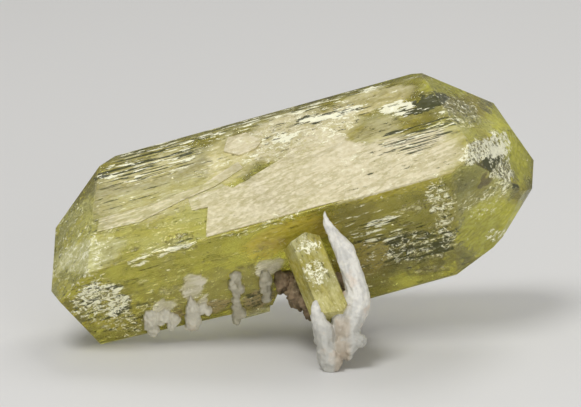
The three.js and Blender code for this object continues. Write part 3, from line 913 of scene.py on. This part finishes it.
def scatter_tree(name, material, along, tilt):
    """Scatters copies of a form over a shell, along the crystal's axis, thickest where the crowd is."""
    kinds = {"Form": "Object", "Density": "Float", "Smallest": "Float", "Largest": "Float", "Seed": "Int"}
    tree = Tree(name, kinds)
    given = tree.inputs
    crowd = tree.node("GeometryNodeInputNamedAttribute", {"data_type": "FLOAT"}, {"Name": "crowd"})[0]
    density = tree.node("ShaderNodeMath", {"operation": "MULTIPLY"}, {0: crowd, 1: given["Density"]})[0]
    points = tree.node(
        "GeometryNodeDistributePointsOnFaces", {"distribute_method": "RANDOM"},
        {"Mesh": given["Geometry"], "Density": density, "Seed": given["Seed"]},
    )
    lined = tree.node(
        "FunctionNodeAlignRotationToVector", {"axis": "X", "pivot_axis": "Z"},
        {"Rotation": points["Rotation"], "Vector": along},
    )[0]
    swing = {"Min": (-tilt, -tilt, -tilt), "Max": (tilt, tilt, tilt), "Seed": given["Seed"]}
    random_turn = tree.node("FunctionNodeRandomValue", {"data_type": "FLOAT_VECTOR"}, swing)[0]
    turn = tree.node("FunctionNodeEulerToRotation", values={0: random_turn})[0]
    turned = tree.node("FunctionNodeRotateRotation", {"rotation_space": "LOCAL"}, {0: lined, 1: turn})[0]
    span = {2: given["Smallest"], 3: given["Largest"], "Seed": given["Seed"]}
    size = tree.node("FunctionNodeRandomValue", {"data_type": "FLOAT"}, span)[1]
    form = tree.node("GeometryNodeObjectInfo", values={"Object": given["Form"]})["Geometry"]
    placed = tree.node(
        "GeometryNodeInstanceOnPoints",
        values={"Points": points["Points"], "Instance": form, "Rotation": turned, "Scale": size},
    )[0]
    plain = tree.node("GeometryNodeRealizeInstances", values={"Geometry": placed})[0]
    finished = tree.node("GeometryNodeSetMaterial", values={"Geometry": plain, "Material": material})[0]
    return tree.finish(finished)


def chip_form():
    """A thin six-sided flake, a unit long, to be scattered."""
    shell = bmesh.new()
    bmesh.ops.create_cone(shell, cap_ends=True, segments=6, radius1=0.5, radius2=0.42, depth=0.06)
    bmesh.ops.scale(shell, vec=(1.0, 0.55, 1.0), verts=shell.verts)
    return object_from(shell, "chip_form", smooth=False)


def fracture_form():
    """A thin crumpled sheet with a ragged outline, a unit long, to be scattered."""
    shell = bmesh.new()
    bmesh.ops.create_grid(shell, x_segments=12, y_segments=5, size=0.5)
    for vert in shell.verts:
        x, y = vert.co.x, vert.co.y
        ragged = 1 - 0.5 * max(0.0, noise.noise(Vector((x * 7, y * 5, 3.0))) + 0.3)
        narrow = 1 - 0.75 * (2 * x) ** 2
        crumple = 0.05 * noise.noise(Vector((x * 4, y * 4, 9.0)))
        vert.co = Vector((x * ragged, y * 0.42 * narrow * ragged, crumple))
    bmesh.ops.solidify(shell, geom=shell.faces[:], thickness=0.006)
    return object_from(shell, "fracture_form", smooth=False)


def inner_shell(node, middle, share, seed):
    """A crystal's form, shrunk towards its middle, with a crowd attribute where broken places are."""
    shell = merged_copy(node)
    for direction in (ALONG, ACROSS, FORWARD):
        bisected(shell, direction, 2.0 * MM, middle)
    bmesh.ops.triangulate(shell, faces=shell.faces)
    crowd = []
    for vert in shell.verts:
        offset = (vert.co - middle) / MM
        s, w, d = offset.dot(ALONG), offset.dot(ACROSS), offset.dot(FORWARD)
        patchy = max(0.0, noise.noise(Vector((s * 0.16, w * 0.3, d * 0.3 + seed))) * 2.2 + 0.25)
        amount = BACKGROUND_CROWD
        if node == "main_crystal" and d > -1:
            for zone in ZONES.values():
                reach = math.hypot((s - zone.s) / zone.half_length, (w - zone.w) / zone.half_width)
                amount += max(0.0, zone.darkness + zone.brightness) * max(0.0, 1.2 - reach) * 0.6
        crowd.append(amount * patchy)
        vert.co = middle + (vert.co - middle) * share
    made = object_from(shell, "inner_shell", smooth=False)
    attribute = made.data.attributes.new("crowd", "FLOAT", "POINT")
    attribute.data.foreach_set("value", np.array(crowd, dtype=np.float32))
    return made


def scattered(name, host, tree, values):
    """Runs the tree on the host and returns the result as a plain mesh object."""
    modifier = host.modifiers.new("scatter", "NODES")
    modifier.node_group = tree
    for item in tree.interface.items_tree:
        if item.in_out == "INPUT" and item.name in values:
            modifier[item.identifier] = values[item.name]
    mesh = finished_mesh(host)
    mesh.name = name
    bpy.data.objects.remove(host)
    return linked(name, mesh)


def scatter_inside(jobs, form, material, tilt, density, smallest, largest, seed, crowd_seed):
    """Scatters a form inside the crystals, one piece for each job, and removes the form."""
    for turn, (name, node, middle, along, share, more) in enumerate(jobs):
        tree = scatter_tree(name, material, along, tilt)
        values = {
            "Form": form, "Density": density * more, "Smallest": smallest, "Largest": largest,
            "Seed": seed + turn,
        }
        host = inner_shell(node, middle, share, crowd_seed + turn * CROWD_SEED_STEP)
        dressed(scattered(name, host, tree, values), None, "clear_crystal")
    bpy.data.objects.remove(form)


# Operators

AIM_SHIFT = 0.24  # millimetres up and left from the crystal's middle to the middle of the picture
SENSOR_WIDTH = 36.0  # millimetres
FLOOR_RADIUS = 2.5  # metres
WORLD_COLOUR = (1.0, 0.99, 0.97, 1)
# Where the lights stand and how wide they are, in metres, and the back light's share of the key light's power
KEY_PLACE = (-0.22, -0.30, 0.68)
BACK_PLACE = (0.20, 0.50, 0.60)
FILL_PLACE = (0.35, -0.85, 0.20)
SOFT_LIGHT, WIDE_LIGHT = 0.34, 0.5
BACK_SHARE = 0.5


class SPECIMEN_OT_main_crystal(bpy.types.Operator):
    """Makes the long main crystal"""

    bl_idname = "specimen.main_crystal"
    bl_label = "Main crystal"

    def execute(self, context):
        sizes, colours = context.scene.specimen_sizes, context.scene.specimen_colours
        cuts = (UP_THE_UPPER_FACE, DOWN_THE_LOWER_FACE)
        piece = striated_crystal("main_crystal", "main_crystal_clear", sizes, ALONG, MIDDLE, cuts)
        material = crystal_shader("brazilianite", colours, ALONG, MIDDLE, True)
        dressed(piece, material, "clear_crystal", "main_crystal")
        return {"FINISHED"}


class SPECIMEN_OT_small_crystal(bpy.types.Operator):
    """Makes the small crystal across the front"""

    bl_idname = "specimen.small_crystal"
    bl_label = "Small crystal"

    def execute(self, context):
        sizes, colours = context.scene.specimen_sizes, context.scene.specimen_colours
        across = TOWARD_VIEWER.cross(SMALL_ALONG).normalized()
        piece = striated_crystal(
            "small_crystal", "small_crystal_clear", sizes, SMALL_ALONG, SMALL_MIDDLE, (across,)
        )
        material = crystal_shader("brazilianite_small", colours, SMALL_ALONG, SMALL_MIDDLE, False)
        dressed(piece, material, "clear_crystal", "small_crystal")
        return {"FINISHED"}


class SPECIMEN_OT_inner_chips(bpy.types.Operator):
    """Scatters bright cleavage chips inside the crystals"""

    bl_idname = "specimen.inner_chips"
    bl_label = "Inner chips"

    def execute(self, context):
        sizes = context.scene.specimen_sizes
        material = chip_shader()
        scatter_inside(
            CHIP_JOBS, chip_form(), material, 0.6, sizes.chip_density, sizes.chip * 0.3, sizes.chip,
            seed=sizes.seed, crowd_seed=0,
        )
        return {"FINISHED"}


class SPECIMEN_OT_fractures(bpy.types.Operator):
    """Scatters lengthways fractures inside the main crystal"""

    bl_idname = "specimen.fractures"
    bl_label = "Fractures"

    def execute(self, context):
        sizes = context.scene.specimen_sizes
        material = fracture_shader()
        scatter_inside(
            FRACTURE_JOBS, fracture_form(), material, 0.28, sizes.fracture_density, sizes.fracture * 0.25,
            sizes.fracture, seed=sizes.seed + 10, crowd_seed=20,
        )
        return {"FINISHED"}


class SPECIMEN_OT_albite(bpy.types.Operator):
    """Makes the white albite blades and knobs"""

    bl_idname = "specimen.albite"
    bl_label = "Albite"

    def execute(self, context):
        sizes, colours = context.scene.specimen_sizes, context.scene.specimen_colours
        material = albite_shader(colours)
        surfaces = crystal_surfaces()
        for node in ["albite_blades", *KNOBS]:
            shell = with_lumps(merged_copy(node), node, sizes.seed)
            if node == "albite_blades":
                with_ridge(shell)
            piece = object_from(shell, node + "_grown")
            remeshed(piece, sizes.voxel)
            relief = sizes.knob_relief * (0.45 if node == "albite_blades" else 1.0)
            roughened(piece, relief, 0.9 * MM)
            rooted(piece, surfaces, sizes.root)
            dressed(piece, material, "albite", node)
        return {"FINISHED"}


class SPECIMEN_OT_matrix(bpy.types.Operator):
    """Makes the matrix remnant"""

    bl_idname = "specimen.matrix"
    bl_label = "Matrix"

    def execute(self, context):
        sizes, colours = context.scene.specimen_sizes, context.scene.specimen_colours
        shell = with_lumps(merged_copy("matrix_remnant"), "matrix_remnant", sizes.seed)
        piece = object_from(shell, "matrix_grown")
        remeshed(piece, sizes.voxel * 1.3)
        roughened(piece, sizes.matrix_relief, 1.1 * MM)
        rooted(piece, crystal_surfaces(), sizes.root)
        dressed(piece, matrix_shader(colours), "matrix", "matrix_remnant")
        return {"FINISHED"}


class SPECIMEN_OT_studio(bpy.types.Operator):
    """Makes the pale floor, the soft lights and the camera"""

    bl_idname = "specimen.studio"
    bl_label = "Studio"

    def execute(self, context):
        studio, colours = context.scene.specimen_studio, context.scene.specimen_colours
        shell = bmesh.new()
        bmesh.ops.create_circle(shell, cap_ends=True, segments=96, radius=FLOOR_RADIUS)
        floor = object_from(shell, "floor", smooth=False)
        floor.data.materials.append(floor_shader(colours))
        self.light("key", KEY_PLACE, SOFT_LIGHT, studio.key_power)
        self.light("back", BACK_PLACE, SOFT_LIGHT, studio.key_power * BACK_SHARE)
        self.light("fill", FILL_PLACE, WIDE_LIGHT, studio.fill_power)
        self.world(context, studio.world)
        self.camera(context, studio)
        cycles = context.scene.cycles
        context.scene.view_settings.view_transform = "Standard"
        cycles.use_denoising = True
        cycles.max_bounces = 12
        cycles.transmission_bounces = 10
        cycles.transparent_max_bounces = 12
        return {"FINISHED"}

    def light(self, name, place, size, power):
        lamp = bpy.data.lights.new(name, "AREA")
        lamp.shape = "DISK"
        lamp.size = size
        lamp.energy = power
        made = linked(name, lamp)
        made.location = place
        made.rotation_euler = (MIDDLE - Vector(place)).to_track_quat("-Z", "Y").to_euler()

    def world(self, context, strength):
        world = bpy.data.worlds.new("studio")
        world.use_nodes = True
        sockets = world.node_tree.nodes["Background"].inputs
        sockets["Strength"].default_value = strength
        sockets["Color"].default_value = WORLD_COLOUR
        context.scene.world = world

    def camera(self, context, studio):
        aim = MIDDLE + (UP - RIGHT) * AIM_SHIFT * MM
        camera = linked("camera", bpy.data.cameras.new("camera"))
        camera.data.sensor_width = SENSOR_WIDTH
        camera.data.lens = SENSOR_WIDTH * studio.distance / studio.picture_width
        camera.data.clip_end = 20
        camera.location = aim + TOWARD_VIEWER * studio.distance
        camera.rotation_euler = TOWARD_VIEWER.to_track_quat("Z", "Y").to_euler()
        context.scene.camera = camera


class SPECIMEN_PT_panel(bpy.types.Panel):
    """Lists the specimen's pieces, sizes and colours"""

    bl_label = "Specimen"
    bl_idname = "SPECIMEN_PT_panel"
    bl_space_type = "VIEW_3D"
    bl_region_type = "UI"
    bl_category = "Specimen"

    def draw(self, context):
        for operator in OPERATORS:
            self.layout.operator(operator.bl_idname)
        for name in GROUPS:
            group = getattr(context.scene, name)
            for key in group.bl_rna.properties.keys():
                if key not in ("rna_type", "name"):
                    self.layout.prop(group, key)


GROUPS = {
    "specimen_sizes": SpecimenSizes,
    "specimen_colours": SpecimenColours,
    "specimen_studio": SpecimenStudio,
}
OPERATORS = (
    SPECIMEN_OT_main_crystal,
    SPECIMEN_OT_small_crystal,
    SPECIMEN_OT_inner_chips,
    SPECIMEN_OT_fractures,
    SPECIMEN_OT_albite,
    SPECIMEN_OT_matrix,
    SPECIMEN_OT_studio,
)


def register():
    for kind in (*GROUPS.values(), *OPERATORS, SPECIMEN_PT_panel):
        bpy.utils.register_class(kind)
    for name, kind in GROUPS.items():
        setattr(bpy.types.Scene, name, PointerProperty(type=kind))


def unregister():
    for name in GROUPS:
        delattr(bpy.types.Scene, name)
    for kind in (SPECIMEN_PT_panel, *OPERATORS[::-1], *GROUPS.values()):
        bpy.utils.unregister_class(kind)


def main():
    register()
    bpy.ops.specimen.main_crystal()
    bpy.ops.specimen.small_crystal()
    bpy.ops.specimen.inner_chips()
    bpy.ops.specimen.fractures()
    bpy.ops.specimen.albite()
    bpy.ops.specimen.matrix()
    bpy.ops.specimen.studio()
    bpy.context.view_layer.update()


if __name__ == "__main__":
    main()
